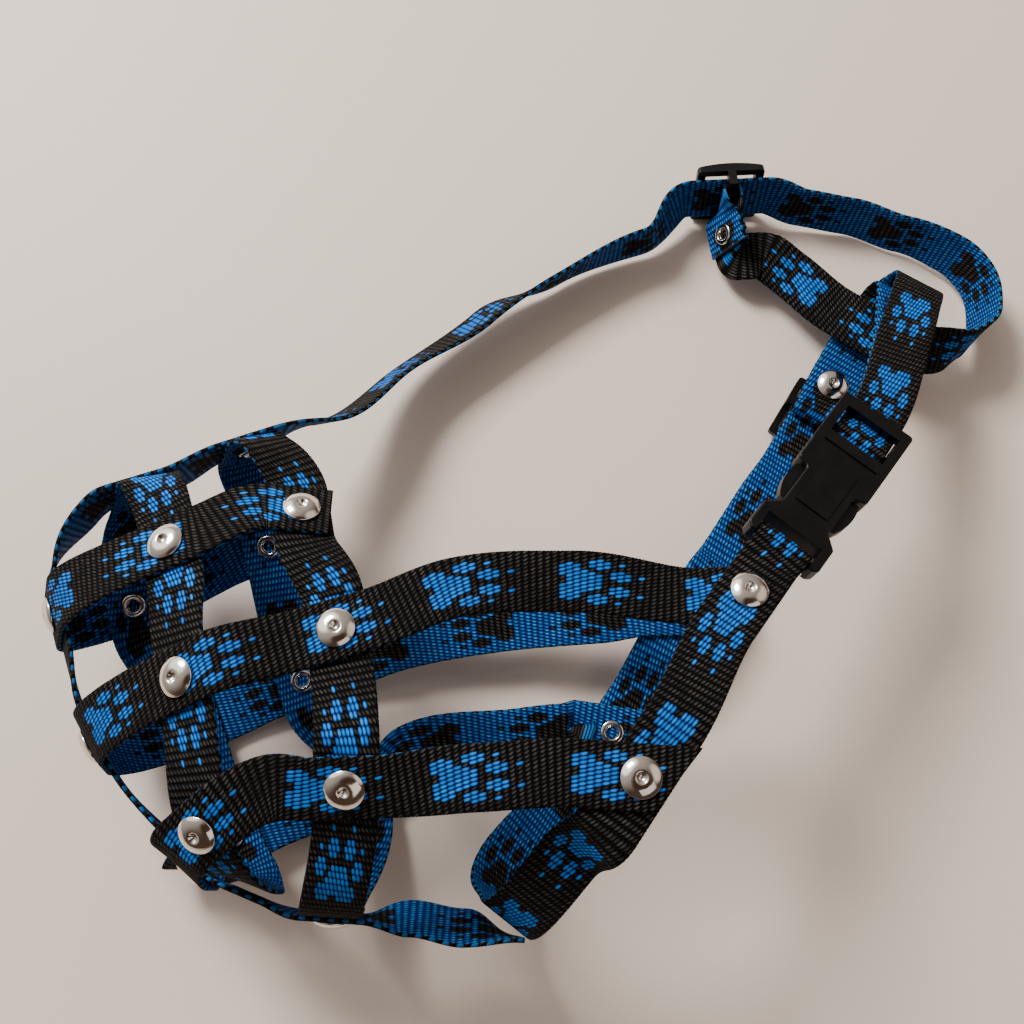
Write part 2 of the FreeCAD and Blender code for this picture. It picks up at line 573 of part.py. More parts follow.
def female_half():
    body = new_body("buckle_female")
    shell = sketch_on(body, "XY_Plane")
    outline(shell, mirrored([
        (0, on("wing_corner")), (on("corner"), on("half_width")), (on("wing_round"), on("half_width")),
        (on("wing_length"), on("half_waist")), (on("shoulder_foot"), on("half_waist")),
        (on("shoulder_start"), on("half_width")), (on("female_length"), on("half_width")),
    ]))
    shape = extrude("Pad", body, shell, on("buckle_thick"), both_ways=True)
    shape = soften(body, shape, on("corner"), lambda e: upright(e) and e.Vertexes[0].X < size("female_length") - 1)
    doc.recompute()
    top = size("face")
    soften(body, shape, on("edge"), lambda e: all(abs(abs(v.Z) - top) < 1e-6 for v in e.Vertexes)
           and e.CenterOfMass.x > 1.5 and e.CenterOfMass.x < size("female_length") - 0.1)
    cavity = sketch_on(body, "XY_Plane")
    outline(cavity, block(on("cavity_start"), on("female_length"), on("half_cavity", -1), on("half_cavity")))
    extrude("Pocket", body, cavity, on("cavity_thick"), both_ways=True)
    slot = sketch_on(body, "XY_Plane")
    outline(slot, block(on("corner", -1), on("slot_end"), on("half_slot", -1), on("half_slot")))
    extrude("Pocket", body, slot, on("buckle_width"), both_ways=True)
    bar = sketch_on(body, "XY_Plane")
    outline(bar, block(0, on("bar_depth"), on("wing_corner", -1), on("wing_corner")))
    extrude("Pad", body, bar, on("bar_thick"), both_ways=True)
    panel = sketch_on(body, "XY_Plane", on("face"))
    outline(panel, block(on("panel_start"), on("panel_end"), on("half_panel", -1), on("half_panel")))
    extrude("Pad", body, panel, on("panel_height"))
    return body


def male_half():
    body = new_body("buckle_male")
    frame = sketch_on(body, "XY_Plane")
    outline(frame, block(on("male_start"), on("buckle_length"), on("half_width", -1), on("half_width")))
    shape = extrude("Pad", body, frame, on("male_thick"), both_ways=True)
    soften(body, shape, on("corner"), lambda e: upright(e) and e.Vertexes[0].X > size("male_start") + 1)
    hole = sketch_on(body, "XY_Plane")
    outline(hole, block(on("male_inner"), on("rail_end"), on("half_slot", -1), on("half_slot")))
    extrude("Pocket", body, hole, on("buckle_width"), both_ways=True)
    outer = sketch_on(body, "XY_Plane", on("outer_bar_low"))
    outline(outer, block(on("outer_bar"), on("buckle_length"), on("wing_corner", -1), on("wing_corner")))
    extrude("Pad", body, outer, on("outer_bar_thick"))
    middle = sketch_on(body, "XY_Plane", on("mid_bar_low", -1))
    outline(middle, block(on("mid_bar_start"), on("mid_bar_end"), on("wing_corner", -1), on("wing_corner")))
    extrude("Pad", body, middle, on("male_mid_bar"))
    ridge = sketch_on(body, "XY_Plane", on("half_male"))
    outline(ridge, block(on("grip_low"), on("grip_high"), on("half_slot", -1), on("half_slot")))
    extrude("Pad", body, ridge, on("panel_height"))
    tongue = sketch_on(body, "XY_Plane")
    outline(tongue, block(on("tongue_start"), on("male_inner"), on("half_tongue", -1), on("half_tongue")))
    extrude("Pad", body, tongue, on("tongue_thick"), both_ways=True)
    return body


def prong(label, side):
    """A springy arm that ends in the button, on the +Y (1) or -Y (-1) side."""
    body = new_body(label)
    sketch = sketch_on(body, "XY_Plane")
    corners = [
        (on("tip_x"), on("tip_y")), (on("button_end"), on("button_low")), (on("catch_x"), on("catch_outer")),
        (on("catch_x"), on("catch_inner")), (on("prong_root"), on("prong_outer")),
        (on("prong_root"), on("prong_inner")), (on("button_end"), on("tip_inner")),
    ]
    arcs = {1: on("button_radius")}
    if side < 0:
        corners = [(x, (y[0], -y[1])) for x, y in corners[::-1]]
        arcs = {4: on("button_radius")}
    outline(sketch, corners, arcs)
    extrude("Pad", body, sketch, on("prong_thick"), both_ways=True)
    return body


def slider(label):
    """An arched adjuster: its end bars pass outside the strap, and its middle bar lies under it."""
    body = new_body(label)
    side = sketch_on(body, "XZ_Plane")
    outline(side, [
        (on("slider_end", -1), on("slider_lift")), (on("slider_end", -1), on("slider_face")),
        (on("slider_end"), on("slider_face")), (on("slider_end"), on("slider_lift")),
    ], {1: on("slider_arch_radius")})
    shape = extrude("Pad", body, side, on("slider_width"), both_ways=True)
    soften(body, shape, on("corner"), upright)
    slots = sketch_on(body, "XY_Plane")
    outline(slots, block(on("slider_slot", -1), on("slider_slot"), on("half_slot", -1), on("half_slot")))
    extrude("Pocket", body, slots, on("slider_width"), both_ways=True)
    cradle = sketch_on(body, "YZ_Plane")
    outline(cradle, [
        (on("half_slider", -1), on("mid_bar_back", -1)), (on("half_slider"), on("mid_bar_back", -1)),
        (on("half_slider"), on("post_top")), (on("half_slot"), on("post_top")),
        (on("half_slot"), on("mid_bar_face", -1)), (on("half_slot", -1), on("mid_bar_face", -1)),
        (on("half_slot", -1), on("post_top")), (on("half_slider", -1), on("post_top")),
    ])
    extrude("Pad", body, cradle, on("slider_bar"), both_ways=True)
    return body


PLACES = {}
for body, mount in (
    (female_half(), BUCKLE), (male_half(), BUCKLE),
    (prong("buckle_prong_left", 1), BUCKLE), (prong("buckle_prong_right", -1), BUCKLE),
    (slider("slider_forehead"), FOREHEAD_SLIDER), (slider("slider_neck"), NECK_SLIDER),
):
    body.Placement = place_of(mount)
    parts[body.Label] = body
doc.recompute()

# ---------------------------------------------------------------- checks and export
for thing in doc.Objects:
    if "Invalid" in thing.State or "Error" in thing.State:
        raise RuntimeError(f"{thing.Label}: {thing.State}")
low, high = Vec(1e9, 1e9, 1e9), Vec(-1e9, -1e9, -1e9)
for name, thing in parts.items():
    shape = thing.Shape
    if shape.isNull() or not shape.isValid() or len(shape.Solids) != 1 or shape.Volume <= 0:
        raise RuntimeError(f"{name} isn't one sound solid")
    box = shape.optimalBoundingBox()
    low = Vec(min(low.x, box.XMin), min(low.y, box.YMin), min(low.z, box.ZMin))
    high = Vec(max(high.x, box.XMax), max(high.y, box.YMax), max(high.z, box.ZMax))
    shape.exportStep(f"parts/{name}.step")
print(len(parts), "parts, box", low, high, "middle is off by", (low + high) * 0.5)
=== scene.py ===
import math

import bmesh
import bpy
from mathutils import Matrix, Vector


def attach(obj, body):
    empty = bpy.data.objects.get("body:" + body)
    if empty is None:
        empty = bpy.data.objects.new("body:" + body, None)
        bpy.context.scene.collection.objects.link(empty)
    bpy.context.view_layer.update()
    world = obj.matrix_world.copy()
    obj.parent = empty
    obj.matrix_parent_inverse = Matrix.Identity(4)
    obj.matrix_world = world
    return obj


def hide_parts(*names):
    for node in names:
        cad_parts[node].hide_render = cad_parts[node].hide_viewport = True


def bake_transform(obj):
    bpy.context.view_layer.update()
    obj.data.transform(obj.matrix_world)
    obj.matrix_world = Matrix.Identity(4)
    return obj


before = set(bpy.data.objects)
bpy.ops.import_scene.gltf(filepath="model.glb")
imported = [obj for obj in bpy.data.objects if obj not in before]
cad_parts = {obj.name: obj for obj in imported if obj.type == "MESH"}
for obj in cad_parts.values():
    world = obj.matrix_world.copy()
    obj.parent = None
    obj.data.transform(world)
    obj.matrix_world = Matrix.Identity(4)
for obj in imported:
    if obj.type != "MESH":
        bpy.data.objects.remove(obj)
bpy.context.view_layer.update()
MM = 0.001

# The muzzle lies on its right side: X runs from the nose (-X) to the neck (+X), Y from the chin side to the
# forehead side, Z up. Routes are in millimetres from the same point as in the CAD model, near the middle of the
# muzzle, and at() moves them to the frame's origin.
WIDTH, THICK, GAP = 15.0, 1.3, 0.16
PLY = THICK + GAP
LAYER = PLY / 2
BUCKLE_LENGTH, FEMALE_BAR, FEMALE_BAR_THICK = 50.0, 3.0, 2.6
MALE_BAR, MALE_SLOT, MALE_MID_BAR = 3.2, 4.9, 1.8
SLIDER_BAR, SLIDER_MID_DROP, SLIDER_MID_THICK = 2.6, 2.9, 1.7
MIDDLE = Vector((10.95, -6.31, -0.16))  # the frame's origin, measured from that point


def at(x, y, z):
    return Vector((x, y, z)) - MIDDLE


# ---------------------------------------------------------------- crossings
# name: (point between the two straps, the way the outer strap runs, the way the inner one runs,
#        which side is outward, half length of the flat of the outer strap and of the inner one)
CROSSINGS = {
    # rear band: left side (up), forehead side, chin side, right side (down)
    "left_upper_rear": ((-54, -13.5, 55), (46, -3, -9), (14, -56, 28), (0, 0.4, 1), 7.5, 7.5),
    "left_middle_rear": ((-42, -45.5, 66), (72, 22, -2), (13, -71, 10), (0, 0, 1), 7.5, 7.5),
    "left_lower_rear": ((-38, -82, 70), (57, 2, 2), (-3, -67, -31), (0, -0.2, 1), 7.5, 7.5),
    "top_rear": ((-73, 9.5, 37), (56, 21, -5), (16, 3.5, 38), (0, 1, 0), 7.5, 7.5),
    "chin_rear": ((-45, -113, 36), (56, -4, -2), (5, 0, 66), (0, -1, 0), 7.5, 7.5),
    "right_upper_rear": ((-70, -14.5, 18), (69, 23, 4), (12, -60, -24), (0, 0.4, -1), 7.5, 7.5),
    "right_middle_rear": ((-61, -52, 4.6), (62, 23, 1), (24, -67, -4), (0, 0, -1), 7.5, 7.5),
    "right_lower_rear": ((-43, -82, 5), (60, 24, 1), (14, -60, 10), (0, -0.2, -1), 7.5, 7.5),
    # front band
    "left_upper_front": ((-85.5, -23.5, 61), (69, 27, 12), (20, -58, 22), (0, 0.4, 1), 7.5, 7.5),
    "left_middle_front": ((-78, -57, 68), (66, 26, 31), (16, -71, 2), (0, 0, 1), 7.5, 7.5),
    "left_lower_front": ((-72, -92, 64), (60, 44, 42), (8, -51, -25), (-0.6, -0.3, 0.7), 6, 5.5),
    "top_front": ((-101, -3, 38), (22, 7, 0), (21, 9, 49), (-0.3, 1, 0), 7.5, 7.5),
    "chin_front": ((-66.5, -107.8, 36), (30, -12, 0), (6, 5, 58), (0, -1, 0), 5, 7.5),
    "right_upper_front": ((-109, -31, 14), (53, 23, -6), (9, -60, -24), (0, 0.4, -1), 7.5, 7.5),
    "right_middle_front": ((-92, -65, 4.8), (47, 19, -9), (26, -66, -2), (0, 0, -1), 7.5, 7.5),
    "right_lower_front": ((-78, -97, 6.8), (39, 20, -7), (24, -39, 14), (0, -0.3, -1), 9.5, 5.5),
    # nose: the side straps turn round it outside the centre strap
    "nose_upper": ((-122, -37, 36), (-21, -9, -49), (13, -38, 0), (-1, 0, 0), 7.5, 7.5),
    "nose_middle": ((-108.5, -71, 36), (-14, -8, -64), (40, -65, 0), (-1, -0.3, 0), 7.5, 7.5),
    "nose_lower": ((-80.5, -101.5, 36), (-6, -5, -58), (38, -36, 0), (-1, -1, 0), 7.5, 5),
    # throat: the side straps end on the throat strap, all but one of them under it
    "throat_left_middle": ((58.8, -35.1, 58), (-28, -36, 10), (50, 3, -2), (0, 0, 1), 9, 10),
    "throat_left_lower": ((29, -80, 73), (40, -3, 0), (-44, -63, -1), (0, 0, 1), 13, 13),
    "throat_right_lower": ((28.5, -67, 8), (40, 57, 2), (40, -6, 1), (0, 0, -1), 12, 12),
    "throat_right_middle": ((50.5, -33, 16), (48, 68, -4), (40, 0, -3), (0, 0, -1), 11, 11),
}


def outward(name):
    """The outward normal of a crossing, square to both straps."""
    _, outer, inner, side, _, _ = CROSSINGS[name]
    n = Vector(outer).cross(Vector(inner)).normalized()
    return n if n.dot(Vector(side)) > 0 else -n


def over(name):
    return ("over", name, 1)


def under(name, layers=1):
    return ("under", name, -layers)


def free(x, y, z, normal):
    return ("free", at(x, y, z), Vector(normal).normalized(), 0.0)


def pieces_of(route, start, end):
    """Knots of each piece of a strip, which is divided at each CUT: (point, direction, outward normal)."""
    stops, cuts = [], []
    for kind, *rest in route:
        if kind == "cut":
            cuts.append(len(stops) - 1)
            continue
        where, *rest = rest
        if kind == "free":
            stops.append((where, rest[0], rest[1], rest[2] if len(rest) > 2 else None))
            continue
        point, outer, inner, _, flat_outer, flat_inner = CROSSINGS[where]
        n = outward(where)
        way = Vector(inner if kind == "under" else outer)
        flat = flat_inner if kind == "under" else flat_outer
        stops.append((at(*point) + n * (rest[0] * LAYER), n * (-1 if kind == "fold" else 1), flat, way))
    knots, pieces = [], []
    last = len(stops) - 1
    for i, (p, n, flat, way) in enumerate(stops):
        before, after = stops[max(i - 1, 0)][0], stops[min(i + 1, last)][0]
        if way is None:
            way = after - before
            if 0 < i < last:
                # the nearer neighbour steers the strap more
                a, b = p - before, after - p
                way = a / a.length**2 + b / b.length**2
        elif way.dot(after - before) < 0:
            way = -way
        t = (way - n * n.dot(way)).normalized()
        back, ahead = (start if i == 0 else flat), (end if i == last else flat)
        if back:
            knots.append((p - t * back, t, n))
        if not back or not ahead:
            knots.append((p, t, n))
        if ahead:
            knots.append((p + t * ahead, t, n))
        if i in cuts or i == last:
            pieces.append(knots)
            knots = knots[-1:]
    return pieces


def stations_of(knots, step):
    """Points along the strap: straight between the ends of a flat, a cubic curve elsewhere."""
    stations = []
    for (p0, t0, n0), (p1, t1, n1) in zip(knots, knots[1:]):
        chord = p1 - p0
        length = chord.length
        count = max(2, math.ceil(length / step))
        for k in range(count):
            s = k / count
            p = (p0 * (2 * s**3 - 3 * s**2 + 1) + t0 * (length * (s**3 - 2 * s**2 + s))
                 + p1 * (3 * s**2 - 2 * s**3) + t1 * (length * (s**3 - s**2)))
            d = (chord * (6 * s - 6 * s**2) + t0 * (length * (3 * s**2 - 4 * s + 1))
                 + t1 * (length * (3 * s**2 - 2 * s))).normalized()
            blend = s * s * (3 - 2 * s)
            n = n0 * (1 - blend) + n1 * blend
            stations.append((p, d, (n - d * d.dot(n)).normalized()))
    stations.append(knots[-1])
    return stations


FOREHEAD_START = [
    free(2, -119.6, 31, (-0.1, -1, 0.1)), free(-12, -116.6, 33, (0, -0.88, -0.48)),
    free(-26, -114.2, 34.5, (0, -0.88, -0.44)), over("chin_rear"),
    over("chin_front"), under("nose_lower"), under("nose_middle"), under("nose_upper"),
    free(-116, -10, 37, (-0.8, 0.6, 0)), over("top_front"), over("top_rear"),
    free(-55, 20.5, 26, (-0.1, 1, 0.3)), free(-34, 41, 13, (-0.5, 0.7, 0.5)),
    free(-9, 60, 10, (-0.6, 0.6, 0.7)), free(15, 74, 9, (-0.5, 0.8, 0.2)),
    free(42, 86.6, 9.2, (-0.3, 1, -0.05)),
]
# The strap goes straight through the forehead slider, then round the loop and back to its middle bar.
FOREHEAD_SLIDER = (at(69, 101.2, 10.9), Vector((1, 0.05, 0)), Vector((0, 1, -0.28)))
NECK_SLIDER = (at(93.5, 28.5, 5.2), Vector((0.532, 0.847, 0)), Vector((0, 0, -1)))
BUCKLE = (at(67.4, -24.5, 55), Vector((0.615, 0.771, -0.166)), Vector((0.1, 0.13, 0.99)))


def axes_of(mount):
    """Origin, unit X, Y and Z of a part given by its origin, its X way and roughly its Z way."""
    origin, x, z = mount
    x = Vector(x).normalized()
    z = (z - x * x.dot(z)).normalized()
    return origin, x, z.cross(x), z


def inside(mount, x, z):
    """A point given by a part's own X and Z, in its middle plane."""
    origin, ex, _, ez = axes_of(mount)
    return origin + ex * x + ez * z


def round_bar(mount, x, z, reach_x, reach_z, side, inner_touches):
    """Stops that take a strap from one face of a bar round its side (+1 or -1 along X) to the other face.

    The strap arrives on the bar's face at +Z * reach_z. The sign of inner_touches says which face of the
    webbing lies on the bar: +1 its inner face, -1 its outer face.
    """
    _, ex, _, ez = axes_of(mount)
    s = inner_touches
    return [
        ("free", inside(mount, x, z + reach_z), ez * math.copysign(s, reach_z), 0.0),
        ("free", inside(mount, x + side * reach_x, z), ex * (side * s), 0.0),
        ("free", inside(mount, x, z - reach_z), ez * -math.copysign(s, reach_z), 0.0),
    ]


# From a bar's face to the middle of the webbing on it. The bend clears the bar's corners.
CLEAR = THICK / 2 + 0.5
MIDDLE_BAR_Z = -(SLIDER_MID_DROP + SLIDER_MID_THICK / 2)
SLIDER_REACH_X = SLIDER_BAR / 2 + CLEAR
SLIDER_REACH_Z = SLIDER_MID_THICK / 2 + CLEAR

# where each loop end is riveted to itself: (point between the layers, outward normal, way along it)
FOREHEAD_END = (at(68.3, 87.8, 11.1), Vector((-0.85, -0.15, 0.5)), Vector((-0.1, 1, 0)))
NECK_END = (at(98.4, 37.6, 9.0), Vector((0, 0, 1)), Vector((0.5, 0.87, 0.2)))


def layer_of(end, layers, faces):
    """The flat of a loop end at its rivet."""
    point, n, way = end
    n = Vector(n).normalized()
    return ("free", point + n * (layers * LAYER), n * faces, 5.2, way)


CUT = ("cut",)
_, SLIDER_X, _, SLIDER_Z = axes_of(FOREHEAD_SLIDER)
FOREHEAD_STRIP = FOREHEAD_START + [
    CUT,
    ("free", FOREHEAD_SLIDER[0], SLIDER_Z, 12.0, FOREHEAD_SLIDER[1]),
    free(93, 98.4, 9.4, (0.1, 1, -0.3)), CUT,
    free(108, 96, 8.2, (0.1, 1, -0.3)), free(125, 89.5, 8.4, (0.2, 1, -0.3)),
    free(139, 82.5, 9, (0.5, 0.85, -0.4)), free(146.3, 73.5, 9.6, (1, 0.4, -0.45)),
    free(146.8, 60, 11.3, (1, -0.25, -0.35)), free(139.5, 49.8, 14, (0.5, -0.85, 0.15)),
    free(128, 46.3, 16.5, (0.15, -0.7, 0.7)), free(117, 48.5, 17.2, (-0.05, -0.25, 1)),
    free(107, 55.5, 15, (-0.2, -0.15, 1)), free(98, 64, 11.5, (-0.25, -0.1, 1)),
    free(87.5, 75.5, 9.5, (-0.3, -0.1, 1)), CUT,
    free(81.5, 80.5, 9.8, (-0.35, -0.12, 0.93)), layer_of(FOREHEAD_END, -1, 1),
    ("free", inside(FOREHEAD_SLIDER, SLIDER_REACH_X, MIDDLE_BAR_Z), SLIDER_X * -1, 0.0),
    ("free", inside(FOREHEAD_SLIDER, 0, MIDDLE_BAR_Z + SLIDER_REACH_Z), SLIDER_Z * -1, 0.0),
    ("free", inside(FOREHEAD_SLIDER, -SLIDER_REACH_X, MIDDLE_BAR_Z), SLIDER_X, 0.0),
    layer_of(FOREHEAD_END, 1, -1),
]

SPARE = 0.2  # more room round the bar of the female half
BAR_X = FEMALE_BAR / 2
BAR_REACH_X, BAR_REACH_Z = BAR_X + CLEAR + SPARE, FEMALE_BAR_THICK / 2 + CLEAR + SPARE
OUTER_BAR_X = BUCKLE_LENGTH - MALE_BAR / 2
MID_X = BUCKLE_LENGTH - MALE_BAR - MALE_SLOT - MALE_MID_BAR / 2
MID_REACH = MALE_MID_BAR / 2 + CLEAR
NECK_STRIP = [
    ("fold", "throat_left_middle", -3),
    *reversed(round_bar(BUCKLE, BAR_X, 0, BAR_REACH_X, BAR_REACH_Z, 1, 1)),
    over("throat_left_middle"), under("throat_left_lower"), free(13, -98.5, 57.5, (-0.1, -0.3, 1)),
    free(-2, -113.5, 34, (-0.5, -0.6, -0.1)), free(-5, -107.5, 18, (-0.6, -0.5, -0.5)),
    over("throat_right_lower"), over("throat_right_middle"),
    free(62.5, -17, 9.5, (0, 0, -1)), free(75.5, 2, 5.6, (0, 0, -1)),
    ("free", NECK_SLIDER[0], NECK_SLIDER[2], 17.0, NECK_SLIDER[1]),
    free(113, 60.5, 6.2, (0.1, 0.2, -1)), free(123.7, 68, 16.5, (0.5, 0.85, 0.1)),
    free(120.3, 60, 27.8, (0.2, 0.35, 1)), free(112.5, 43.5, 35.5, (0.05, 0.3, 1)), CUT,
    ("free", inside(BUCKLE, OUTER_BAR_X, -0.9), BUCKLE[2], 1.5),
    *round_bar(BUCKLE, MID_X, -0.6, MID_REACH, MID_REACH, -1, 1),
    ("free", inside(BUCKLE, OUTER_BAR_X, -2.9), BUCKLE[2] * -1, 1.5),
    free(111.5, 42.5, 33, (-0.05, -0.3, -1)), CUT,
    free(116, 57.5, 25, (-0.2, -0.35, -1)), free(117.3, 64.5, 16.5, (-0.5, -0.85, -0.1)),
    free(110, 55.5, 9.2, (0, 0, 1)), CUT, layer_of(NECK_END, 1, 1),
    *round_bar(NECK_SLIDER, 0, MIDDLE_BAR_Z, SLIDER_REACH_X, -SLIDER_REACH_Z, -1, 1),
    layer_of(NECK_END, -1, -1),
]

SIDE_STRAPS = {
    "side_strap_upper": [over("left_upper_rear"), over("left_upper_front"), over("nose_upper"),
                         over("right_upper_front"), over("right_upper_rear")],
    "side_strap_middle": [
        under("throat_left_middle"), free(15, -33, 62, (0, -0.1, 1)), free(-14, -35, 64.5, (0, 0.1, 1)),
        over("left_middle_rear"), over("left_middle_front"), over("nose_middle"),
        over("right_middle_front"), over("right_middle_rear"), free(-34, -42, 7.5, (0, 0.1, -1)),
        free(-5, -37, 12, (0, 0.1, -1)), free(25, -35, 17, (0, 0, -1)), under("throat_right_middle")],
    "side_strap_lower": [
        over("throat_left_lower"), free(-8, -80, 73.5, (0, 0, 1)), over("left_lower_rear"),
        free(-56, -82.5, 70.2, (-0.1, -0.15, 1)), over("left_lower_front"), over("nose_lower"),
        over("right_lower_front"), over("right_lower_rear"), free(-29, -72, 7.5, (0, 0.3, -1)),
        free(0, -68, 11, (0, 0.3, -1)), free(16, -66.5, 10.5, (0, 0.2, -1)), under("throat_right_lower")],
}
BANDS = {
    "front_band": [under("right_lower_front", 3), under("chin_front", 4), under("left_lower_front", 2.3),
                   under("left_middle_front"), under("left_upper_front"), under("top_front", 1.2),
                   under("right_upper_front"), under("right_middle_front"), under("right_lower_front", 1.1)],
    "rear_band": [under("chin_rear", 3), under("right_lower_rear"), under("right_middle_rear"),
                  under("right_upper_rear"), under("top_rear", 1.2), under("left_upper_rear"),
                  under("left_middle_rear"), under("left_lower_rear"), under("chin_rear")],
}


# ---------------------------------------------------------------- node-graph arithmetic
class Term:
    """A value in a node tree, so that a pattern can be written as a formula."""

    def __init__(self, tree, socket):
        self.tree, self.socket = tree, socket

    def math(self, operation, *others, clamp=False):
        node = self.tree.nodes.new("ShaderNodeMath")
        node.operation, node.use_clamp = operation, clamp
        for slot, value in zip(node.inputs, (self, *others)):
            if isinstance(value, Term):
                self.tree.links.new(value.socket, slot)
            else:
                slot.default_value = value
        return Term(self.tree, node.outputs[0])

    def __add__(self, other):
        return self.math("ADD", other)

    def __radd__(self, other):
        return self.math("ADD", other)

    def __sub__(self, other):
        return self.math("SUBTRACT", other)

    def __rsub__(self, other):
        return (self * -1) + other

    def __mul__(self, other):
        return self.math("MULTIPLY", other)

    def __truediv__(self, other):
        return self.math("DIVIDE", other)

    def floor(self):
        return self.math("FLOOR")

    def wrap(self, size):
        return self.math("FLOORED_MODULO", size)

    def abs(self):
        return self.math("ABSOLUTE")

    def above(self, edge):
        return self.math("GREATER_THAN", edge)

    def below(self, edge):
        return self.math("LESS_THAN", edge)

    def least(self, other):
        return self.math("MINIMUM", other)

    def most(self, other):
        return self.math("MAXIMUM", other)

    def clamped(self):
        return self.math("ADD", 0.0, clamp=True)

    def ramp(self, low, high):
        """0 below low, 1 above high, smooth between."""
        node = self.tree.nodes.new("ShaderNodeMapRange")
        node.interpolation_type = "SMOOTHSTEP"
        self.tree.links.new(self.socket, node.inputs["Value"])
        node.inputs["From Min"].default_value, node.inputs["From Max"].default_value = low, high
        return Term(self.tree, node.outputs["Result"])


def shade(tree, factor, a, b):
    """Colour a where factor is 0 and b where it is 1. Each colour is an RGB tuple or a colour socket."""
    node = tree.nodes.new("ShaderNodeMix")
    node.data_type = "RGBA"
    tree.links.new(factor.socket, node.inputs["Factor"])
    for name, colour in (("A", a), ("B", b)):
        slot = next(s for s in node.inputs if s.name == name and s.type == "RGBA")
        if isinstance(colour, tuple):
            slot.default_value = (*colour, 1)
        else:
            tree.links.new(colour, slot)
    return next(s for s in node.outputs if s.type == "RGBA")


def noise(tree, scale, detail=2.0):
    node = tree.nodes.new("ShaderNodeTexNoise")
    node.inputs["Scale"].default_value = scale
    node.inputs["Detail"].default_value = detail
    tree.links.new(tree.nodes.new("ShaderNodeTexCoord").outputs["Object"], node.inputs["Vector"])
    return Term(tree, node.outputs["Fac"])


def new_material(name):
    material = bpy.data.materials.new(name)
    material.use_nodes = True
    tree = material.node_tree
    return material, tree, tree.nodes["Principled BSDF"]


def add_bump(tree, shader, height, distance):
    node = tree.nodes.new("ShaderNodeBump")
    node.inputs["Distance"].default_value = distance
    node.inputs["Strength"].default_value = 1.0
    tree.links.new(height.socket, node.inputs["Height"])
    tree.links.new(node.outputs["Normal"], shader.inputs["Normal"])


# ---------------------------------------------------------------- webbing: jacquard paws on a ribbed ground
COLUMN, ROW = 1.78, 0.95           # one float of the pattern thread, along and across the webbing
REPEAT = 18 * COLUMN               # from one paw to the next
FIGURE_HALF, FACE_HALF = 6.9, 7.2  # from the middle to the edge of the figure, and to the selvedge
RIM, SCALLOP = 0.6, 0.15           # width of the selvedge's edge, and how far it waves in and out
SHEAR_FADE = 12                    # length over which a slanted end becomes square
FACE_POINTS = 9                    # of the section, across each face
# blue floats: the lit blue of a float's crown, and painted shade in the hollows between floats
BLUE, SHADED_BLUE = (0.002, 0.19, 0.66), (0.0003, 0.02, 0.14)
# the painted highlight on the crowns of the black ground threads, and the webbing's black
THREAD_HIGHLIGHT, BLACK = (0.047, 0.042, 0.039), (0.0006, 0.0005, 0.0005)

# the paw's weaving chart: first and last column, then how many rows from the middle it starts and ends
PAW = (
    (1, 2, 0, 4.6), (3, 3, 0, 2.6), (4, 4, 0, 2.1), (5, 5, 0, 1.6),  # pad
    (4, 6, 3.9, 5.1), (5, 5, 3.4, 5.6),                              # outer toes
    (7, 9, 1.4, 2.6), (8, 8, 0.9, 3.1),                              # inner toes
    (8, 8, 4.9, 5.1), (11, 11, 2.4, 2.6),                            # claws
)


def chart_box(column, row, first, last, low, high):
    """Above 0 within whole columns and a range of rows."""
    return (column - (first - 0.5)).least((last + 0.5) - column).least(row - low).least(high - row)


def paw(x, y):
    """1 inside a paw print whose heel is at x = 0 and whose toes point along +x."""
    column, row = x / COLUMN - 0.5, y / ROW
    away = row.abs()
    # the heel's column has a notch of two rows
    figure = chart_box(column, (row - 0.5).abs(), 0, 0, 1.2, 9).least(4.2 - away)
    for first, last, low, high in PAW:
        # a hair lower, so that a box from row 0 has that row too
        figure = figure.most(chart_box(column, away, first, last, low - 0.01, high))
    return figure.above(0)


def weave(u, v, column, row, lean, round_along, round_across):
    """Threads in a brick pattern: (height, the middle of this thread's cell along and across)."""
    along = u / column
    cell = along.floor()
    a = along - cell - 0.5
    shift = 0.5 - cell.wrap(2) * 0.5
    across = v / row + shift + a * lean
    line = across.floor()
    b = across - line - 0.5
    height = 1 - (a * a * round_along + b * b * round_across)
    return height, (cell + 0.5) * column, (line + 0.5 - shift) * row


